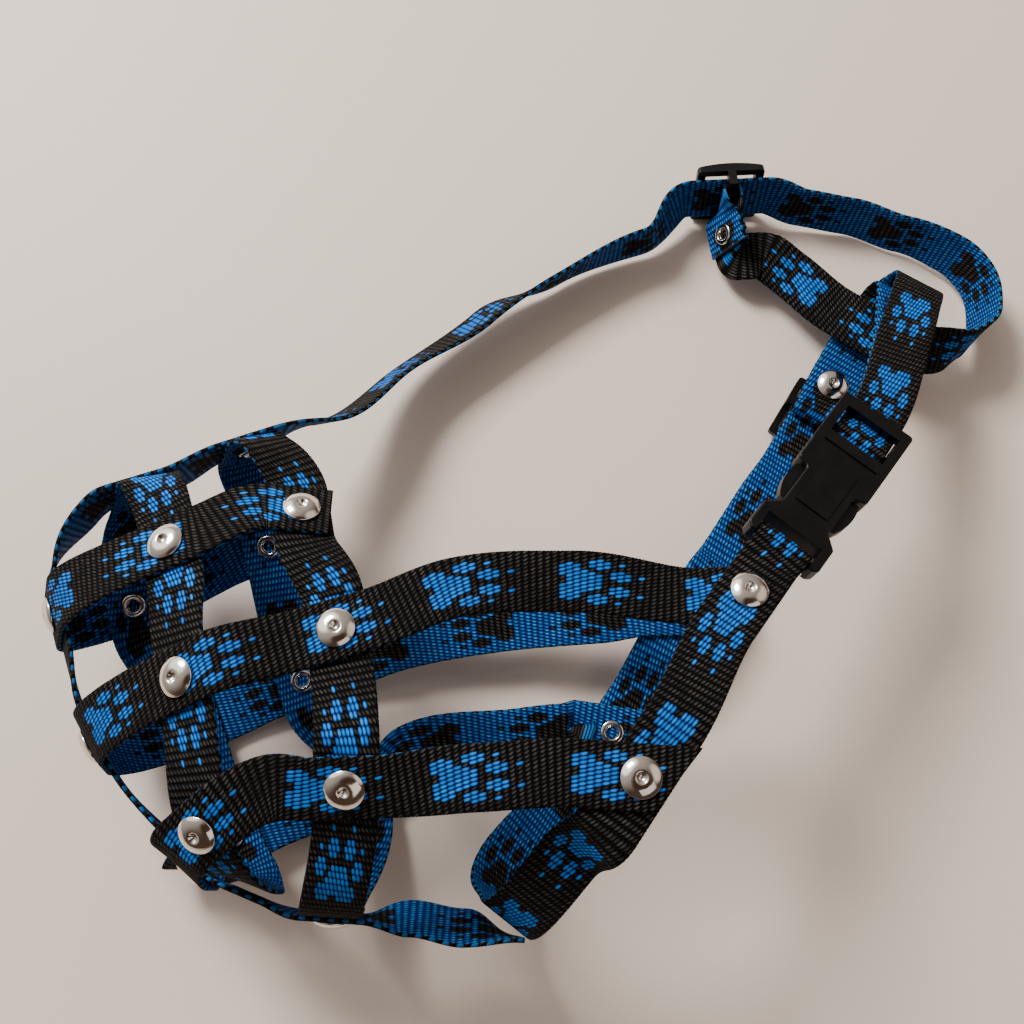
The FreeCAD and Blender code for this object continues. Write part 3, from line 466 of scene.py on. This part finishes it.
def webbing_material(name, outer_face):
    material, tree, shader = new_material(name)
    uv = tree.nodes.new("ShaderNodeUVMap")
    uv.uv_map = "weave"
    split = tree.nodes.new("ShaderNodeSeparateXYZ")
    tree.links.new(uv.outputs["UV"], split.inputs[0])
    u, v = Term(tree, split.outputs[0]), Term(tree, split.outputs[1])
    # pattern floats and ground threads; the pattern changes only between whole floats
    float_height, cu, cv = weave(u, v, COLUMN, ROW, -0.35, 2.3, 3.0)
    ground_height, _, _ = weave(u, v, COLUMN, ROW, -0.85, 2.9, 2.6)
    figure = paw(cu.wrap(REPEAT), cv) * v.abs().below(FIGURE_HALF)
    blue = figure if outer_face else (1 - figure) * v.abs().below(FACE_HALF)
    # each thread is a little lighter or darker than the next
    cell = tree.nodes.new("ShaderNodeTexWhiteNoise")
    cell.noise_dimensions = "2D"
    pair = tree.nodes.new("ShaderNodeCombineXYZ")
    tree.links.new((cu * 1.37).socket, pair.inputs[0])
    tree.links.new((cv * 2.11).socket, pair.inputs[1])
    tree.links.new(pair.outputs[0], cell.inputs["Vector"])
    own = Term(tree, cell.outputs["Value"])
    cloud, fuzz = noise(tree, 90.0), noise(tree, 3600.0, 3.0)
    # painted light: each blue float is lighter at its crown and darker towards its hollows, times a random tone
    # per thread
    lit = (float_height.ramp(0.22, 1.0) * (0.65 + own * 0.5) * (0.7 + cloud * 0.6)).clamped()
    # painted highlight on the crowns of the black ground threads, times a random tone per thread
    thread = (ground_height.ramp(0.56, 1.0) * (0.35 + own * 0.7) * (0.3 + cloud * 1.3)).clamped()
    if outer_face:
        # painted shade in the hollows of the blue floats, painted light on their crowns
        bright = shade(tree, lit, SHADED_BLUE, BLUE)
        bright = shade(tree, float_height.ramp(-0.1, 0.25), BLACK, bright)
    else:
        # on the inner face the floats are short, in navy painted lighter at their crowns and shaded towards
        # their hollows, with a painted highlight at the crown of each
        crown_highlight = (float_height.ramp(0.74, 0.98) * (0.35 + own * 0.8)).clamped()
        bright = shade(tree, lit, (0.0004, 0.016, 0.10), (0.0008, 0.05, 0.24))
        bright = shade(tree, crown_highlight, bright, (0.03, 0.24, 0.56))
    # black ground with a painted highlight on each thread's crown
    dark = shade(tree, thread, BLACK, THREAD_HIGHLIGHT)
    colour = shade(tree, blue, dark, bright)
    if not outer_face:
        # the selvedge shows blue pattern threads where they turn back
        turn = (v.abs() - FACE_HALF).abs().below(0.35) * float_height.above(0.3)
        turn = turn * cu.wrap(2 * COLUMN).below(COLUMN)
        colour = shade(tree, turn, colour, (0.008, 0.10, 0.30))
    tree.links.new(colour, shader.inputs["Base Color"])
    tree.links.new((0.78 - blue * lit * 0.24 + fuzz * 0.1).socket, shader.inputs["Roughness"])
    shader.inputs["Specular IOR Level"].default_value = 0.09
    relief = float_height.ramp(-0.2, 0.9) * blue + ground_height.ramp(-0.2, 1.0) * (1 - blue) * 0.85
    add_bump(tree, shader, relief + cloud * 0.2 + fuzz * 0.12, 0.36 * MM)
    return material


OUTER, INNER = webbing_material("webbing_outer", True), webbing_material("webbing_inner", False)


def edge_material():
    """Cut ends, where a hot knife has melted the threads together."""
    material, tree, shader = new_material("webbing_melted_end")
    lumps = noise(tree, 900.0, 3.0)
    tree.links.new(shade(tree, lumps.ramp(0.35, 0.65), (0.003, 0.003, 0.004), (0.012, 0.02, 0.035)),
                   shader.inputs["Base Color"])
    shader.inputs["Roughness"].default_value = 0.38
    add_bump(tree, shader, lumps, 0.25 * MM)
    return material


MELTED = edge_material()


def smooth_mesh(name, verts, faces):
    mesh = bpy.data.meshes.new(name)
    mesh.from_pydata(verts, [], faces)
    mesh.validate()
    mesh.shade_smooth()
    obj = bpy.data.objects.new(name, mesh)
    bpy.context.scene.collection.objects.link(obj)
    return obj


def profile():
    """The webbing's section, once round from the outer face: (across, up), with soft rounded selvedges."""
    half, lip = WIDTH / 2, THICK / 2
    face = [-1 + 2 * k / (FACE_POINTS - 1) for k in range(FACE_POINTS)]
    outer = [(x * (half - 0.55), lip) for x in face]
    right = [(half - 0.22, lip * 0.86), (half, lip * 0.36), (half, -lip * 0.36), (half - 0.22, -lip * 0.86)]
    inner = [(x * (half - 0.55), -lip) for x in face[::-1]]
    left = [(-x, y) for x, y in right[::-1]]
    return outer + right + inner + left


def weave_place(marks, toes, s):
    """The pattern's own coordinate at a length along the strip, through marks of (length, coordinate)."""
    if s <= marks[0][0]:
        return marks[0][1] + toes * (s - marks[0][0])
    for (s0, c0), (s1, c1) in zip(marks, marks[1:]):
        if s <= s1:
            return c0 + (c1 - c0) * (s - s0) / (s1 - s0)
    return marks[-1][1] + toes * (s - marks[-1][0])


def strap_mesh(name, stations, first, marks, toes, slants, turned):
    """A strap with weave coordinates: millimetres along from the paw's heel, and across."""
    ring = profile()
    size = len(ring)
    verts, along = [], []
    total = 0.0
    for i, (p, d, n) in enumerate(stations):
        if i:
            total += (p - stations[i - 1][0]).length
        along.append(total)
    weave_u = []
    for (p, d, n), s in zip(stations, along):
        side = d.cross(n)
        shear = slants[0] * max(0.0, 1 - s / SHEAR_FADE) + slants[1] * max(0.0, 1 - (total - s) / SHEAR_FADE)
        for x, y in ring:
            place = weave_place(marks, toes, first + s + shear * x)
            weave_u.append(place)
            # the pattern threads turn round the selvedge once in each column
            scallop = SCALLOP * math.cos(2 * math.pi * place / COLUMN)
            rim = max(0.0, abs(x) - FIGURE_HALF) / RIM
            verts.append((p + side * (x + math.copysign(scallop * rim, x)) + d * (shear * x) + n * y) * MM)
    faces, sides = [], []
    for i in range(len(stations) - 1):
        for j in range(size):
            k = (j + 1) % size
            faces.append((i * size + j, (i + 1) * size + j, (i + 1) * size + k, i * size + k))
            # the outer face's material reaches over the near edge of each selvedge
            sides.append(0 if j <= FACE_POINTS or j >= 2 * FACE_POINTS + 6 else 1)
    ends = [tuple(range(size)), tuple(range((len(stations) - 1) * size, len(verts)))[::-1]]
    obj = smooth_mesh(name, verts, faces + ends)
    mesh = obj.data
    for material in ((INNER, OUTER, MELTED) if turned else (OUTER, INNER, MELTED)):
        mesh.materials.append(material)
    layer = mesh.uv_layers.new(name="weave")
    for polygon in mesh.polygons:
        melted = polygon.index >= len(faces)
        polygon.material_index = 2 if melted else sides[polygon.index]
        for loop in polygon.loop_indices:
            vertex = mesh.loops[loop].vertex_index
            x = ring[vertex % size][0]
            layer.data[loop].uv = (weave_u[vertex], x)
    bm = bmesh.new()
    bm.from_mesh(mesh)
    bmesh.ops.recalc_face_normals(bm, faces=bm.faces)
    bm.to_mesh(mesh)
    bm.free()
    return obj, first + total


# strip: toes along the strip (1) or against it (-1), then marks of (length along it, millimetres from a heel)
PATTERN = {
    "side_strap_upper": (1, [(23.5, 18.2), (57.8, 50.2)]),
    "side_strap_middle": (-1, [(53.4, 0), (86, -32), (116.7, -64.1), (128.7, -75.4), (341.4, -288.4)]),
    "side_strap_lower": (-1, [(24.1, 0), (55.6, -32), (89.2, -64.1), (100.3, -75.4), (260.4, -224.3)]),
    "front_band": (-1, [(91.9, 20.7), (127.7, -13.9), (161, -48.5)]),
    "rear_band": (-1, [(192, 20.7), (227.6, -13.9), (293, -75.4)]),
    "centre_strap": (1, [(341.4, 20.7), (470.1, 160.2), (586.7, 288.4)]),
    "throat_strap": (1, [(38.1, 20.7), (51.7, 32), (87.4, 64.1), (124.9, 96.1), (255.3, 230.3), (334.2, 304),
                         (438.6, 416.5), (487.3, 465.2), (489.9, 483.8)]),
}
# side strap: (length past the last rivet, slant) of its first and last ends, which follow the throat strap
SIDE_ENDS = {"side_strap_middle": ((5.6, -0.4), (7.8, 0.7)), "side_strap_lower": ((8.4, -0.7), (7.8, 0.7))}
SQUARE = ((7.5, 0.0), (7.5, 0.0))
STRIPS = [(route, SIDE_ENDS.get(name, SQUARE), [name], *PATTERN[name])
          for name, route in (*SIDE_STRAPS.items(), *BANDS.items())]
STRIPS += [
    (FOREHEAD_STRIP, ((0.0, 0.0), (5.0, 0.0)),
     ["centre_strap", "forehead_slider_webbing", "forehead_loop", "forehead_loop_end"],
     *PATTERN["centre_strap"]),
    (NECK_STRIP, ((9.0, 0.0), (5.0, 0.0)),
     ["throat_strap", "buckle_loop_webbing", "neck_return_strap", "neck_loop_end"],
     *PATTERN["throat_strap"]),
]

# pieces kept off the muzzle's body: (a body, a share along the piece); below, only their transforms are baked
BENDS = {"neck_loop_end": ("neck_adjuster", 0.3), "forehead_loop_end": ("forehead_adjuster", 0.4),
         "buckle_loop_webbing": ("buckle_plug", 0.32)}
STRAPS = {}
for route, ((start, slant), (end, last_slant)), names, toes, marks in STRIPS:
    first = 0.0
    for name, knots in zip(names, pieces_of(route, start, end), strict=True):
        stations = stations_of(knots, COLUMN / 4)
        slants = (slant, last_slant) if len(names) == 1 else (0.0, 0.0)
        # the riveted end at the neck slider lies with its blue face up
        turned = name == "neck_loop_end"
        obj, first = strap_mesh("strap_" + name, stations, first, marks, toes, slants, turned)
        STRAPS[name] = (obj, stations)
        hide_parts(name)
for name, (obj, stations) in STRAPS.items():
    if name not in BENDS:
        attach(obj, "muzzle")
for name, (body, moved) in BENDS.items():
    obj, stations = STRAPS[name]
    a, b = stations[0][0] * MM, stations[int(len(stations) * moved)][0] * MM
    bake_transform(obj)


# ---------------------------------------------------------------- rivets
def nickel():
    material, tree, shader = new_material("polished_nickel")
    worn = noise(tree, 260.0, 3.0)
    scratch = noise(tree, 2200.0, 2.0)
    tint = shade(tree, worn.ramp(0.3, 0.7), (0.80, 0.755, 0.70), (0.66, 0.61, 0.55))
    tree.links.new(tint, shader.inputs["Base Color"])
    shader.inputs["Metallic"].default_value = 1.0
    tree.links.new((0.07 + worn.ramp(0.35, 0.8) * 0.12 + scratch * 0.05).socket, shader.inputs["Roughness"])
    add_bump(tree, shader, worn + scratch * 0.3, 0.02 * MM)
    return material


NICKEL = nickel()


def lathe(name, outline):
    """A round piece from its outline of (radius, height) in millimetres, from the axis to the axis."""
    steps = 64
    around = [(math.cos(2 * math.pi * k / steps), math.sin(2 * math.pi * k / steps)) for k in range(steps)]
    verts, faces, rings = [], [], []
    for r, z in outline:
        if r < 1e-6:
            rings.append([len(verts)])
            verts.append((0, 0, z * MM))
        else:
            rings.append(list(range(len(verts), len(verts) + steps)))
            verts += [(r * MM * x, r * MM * y, z * MM) for x, y in around]
    for a, b in zip(rings, rings[1:]):
        for k in range(steps):
            m = (k + 1) % steps
            if len(a) == 1:
                faces.append((a[0], b[k], b[m]))
            elif len(b) == 1:
                faces.append((a[k], b[0], a[m]))
            else:
                faces.append((a[k], b[k], b[m], a[m]))
    return smooth_mesh(name, verts, faces)


def arc(cx, cz, r, start, end, steps):
    """Points of a rounded corner, angles in degrees from +radius."""
    return [(cx + r * math.cos(math.radians(start + (end - start) * k / steps)),
             cz + r * math.sin(math.radians(start + (end - start) * k / steps))) for k in range(steps + 1)]


def rivet_outline(inward):
    """Domed cap with a dimple, then the post, rolled over into an eyelet on the inner side."""
    face, back = PLY + 0.02, -inward - 0.02
    dome = [(1.5 + 2.9 * t, face + 1.86 - 0.95 * t**2.1) for t in (0.1, 0.3, 0.5, 0.7, 0.85, 1.0)]
    dimple = [(0, face + 0.98), (0.35, face + 1.0), (0.8, face + 1.3), (1.2, face + 1.7), (1.42, face + 1.85)]
    rim = arc(4.45, face + 0.42, 0.35, 70, -80, 7) + [(4.3, face + 0.03), (1.6, face + 0.02)]
    post = [(1.6, back)]
    eyelet = [(2.2, back + 0.02), (3.0, back + 0.02)] + arc(2.9, back - 0.38, 0.42, 60, -90, 6)
    eyelet += arc(2.3, back - 0.42, 0.42, -95, -165, 5)
    hollow = [(1.62, back + 0.1), (1.5, back + 1.0), (0.9, back + 1.35), (0, back + 1.4)]
    return dimple + dome + rim + post + eyelet + hollow


# layers of webbing on a rivet's inner side, where there isn't just one
INNER_PLIES = {"chin_rear": 2, "right_lower_front": 2.05, "throat_left_middle": 2, "left_lower_front": 1.61,
               "top_rear": 1.08}
RIVETS = {}
for name in CROSSINGS:
    if name in ("top_front", "chin_front"):
        continue  # the straps only cross here
    RIVETS["rivet_" + name] = (at(*CROSSINGS[name][0]), outward(name), PLY * INNER_PLIES.get(name, 1))
RIVETS["rivet_forehead_loop"] = (FOREHEAD_END[0], -FOREHEAD_END[1].normalized(), PLY)
RIVETS["rivet_neck_loop"] = (NECK_END[0], NECK_END[1].normalized(), PLY)

RIVET_BODIES = {"rivet_neck_loop": "neck_adjuster", "rivet_forehead_loop": "forehead_adjuster"}
for name, (point, n, inward) in RIVETS.items():
    obj = lathe(name + "_shape", rivet_outline(inward))
    obj.data.materials.append(NICKEL)
    turn = Vector((0, 0, 1)).rotation_difference(n).to_matrix().to_4x4()
    obj.matrix_world = Matrix.Translation(point * MM) @ turn
    bpy.context.view_layer.update()
    body = RIVET_BODIES.get(name, "muzzle")
    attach(obj, body)
    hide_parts(name)


# ---------------------------------------------------------------- moulded plastic
def moulded():
    material, tree, shader = new_material("moulded_acetal")
    grain, mottle = noise(tree, 5200.0, 1.0), noise(tree, 160.0, 3.0)
    tree.links.new(shade(tree, mottle.ramp(0.3, 0.75), (0.0016, 0.0014, 0.0013), (0.0034, 0.003, 0.0029)),
                   shader.inputs["Base Color"])
    tree.links.new((0.26 + mottle * 0.14 + grain * 0.08).socket, shader.inputs["Roughness"])
    shader.inputs["Specular IOR Level"].default_value = 0.2
    add_bump(tree, shader, grain + mottle * 0.6, 0.03 * MM)
    return material


PLASTIC = moulded()
for name in ("buckle_female", "buckle_male", "buckle_prong_left", "buckle_prong_right",
             "slider_forehead", "slider_neck"):
    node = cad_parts[name]
    for slot in node.material_slots:
        slot.material = PLASTIC


# ---------------------------------------------------------------- floor, light and camera
def paper():
    material, tree, shader = new_material("pale_table")
    stain = noise(tree, 2.2, 3.0)
    grain = noise(tree, 420.0, 3.0)
    tree.links.new(shade(tree, stain.ramp(0.3, 0.7), (0.730, 0.622, 0.545), (0.765, 0.657, 0.580)),
                   shader.inputs["Base Color"])
    shader.inputs["Roughness"].default_value = 0.62
    add_bump(tree, shader, grain, 0.05 * MM)
    return material


floor = smooth_mesh("floor", [(-3, -3, 0), (3, -3, 0), (3, 3, 0), (-3, 3, 0)], [(0, 1, 2, 3)])
floor.data.materials.append(paper())


def lamp(name, place, target, size, power, colour):
    data = bpy.data.lights.new(name, "AREA")
    data.shape, data.size, data.size_y = "RECTANGLE", size[0], size[1]
    data.energy, data.color = power, colour
    obj = bpy.data.objects.new(name, data)
    obj.location = place
    obj.rotation_euler = (Vector(target) - Vector(place)).to_track_quat("-Z", "Y").to_euler()
    bpy.context.scene.collection.objects.link(obj)


lamp("window", (-0.56, 0.70, 0.82), (0, 0, 0.02), (0.38, 0.38), 22, (1.0, 0.96, 0.91))
lamp("room", (0.6, -0.9, 1.1), (0, 0, 0.02), (1.2, 0.8), 3, (1.0, 0.93, 0.87))


def room_light():
    """The room as the metal sees it: a pale window side, warm brown walls and a dark figure overhead."""
    world = bpy.data.worlds.new("room")
    world.use_nodes = True
    tree = world.node_tree
    split = tree.nodes.new("ShaderNodeSeparateXYZ")
    tree.links.new(tree.nodes.new("ShaderNodeTexCoord").outputs["Generated"], split.inputs[0])
    x, y, z = (Term(tree, split.outputs[i]) for i in range(3))

    def toward(direction, low, high):
        d = Vector(direction).normalized()
        return (x * d.x + y * d.y + z * d.z).ramp(low, high)

    colour = shade(tree, toward((-0.6, 0.7, 0.35), -0.15, 0.85), (0.125, 0.078, 0.056), (0.90, 0.82, 0.75))
    colour = shade(tree, toward((-0.62, 0.62, 0.55), 0.80, 0.93), colour, (3.2, 3.1, 3.0))
    colour = shade(tree, toward((0.75, 0.2, 0.55), 0.86, 0.96), colour, (1.5, 1.3, 1.15))
    colour = shade(tree, toward((0.12, -0.35, 0.93), 0.84, 0.96), colour, (0.10, 0.052, 0.035))
    tree.links.new(colour, tree.nodes["Background"].inputs["Color"])
    tree.nodes["Background"].inputs["Strength"].default_value = 0.62
    return world


bpy.context.scene.world = room_light()

camera = bpy.data.objects.new("camera", bpy.data.cameras.new("camera"))
camera.data.sensor_width, camera.data.lens = 36.0, 38.67
camera.data.clip_start, camera.data.clip_end = 0.01, 20
camera.location = (Vector((0, -81.9, 328.5)) - MIDDLE) * MM
camera.rotation_euler = (math.radians(14), 0, 0)
bpy.context.scene.collection.objects.link(camera)
bpy.context.scene.camera = camera
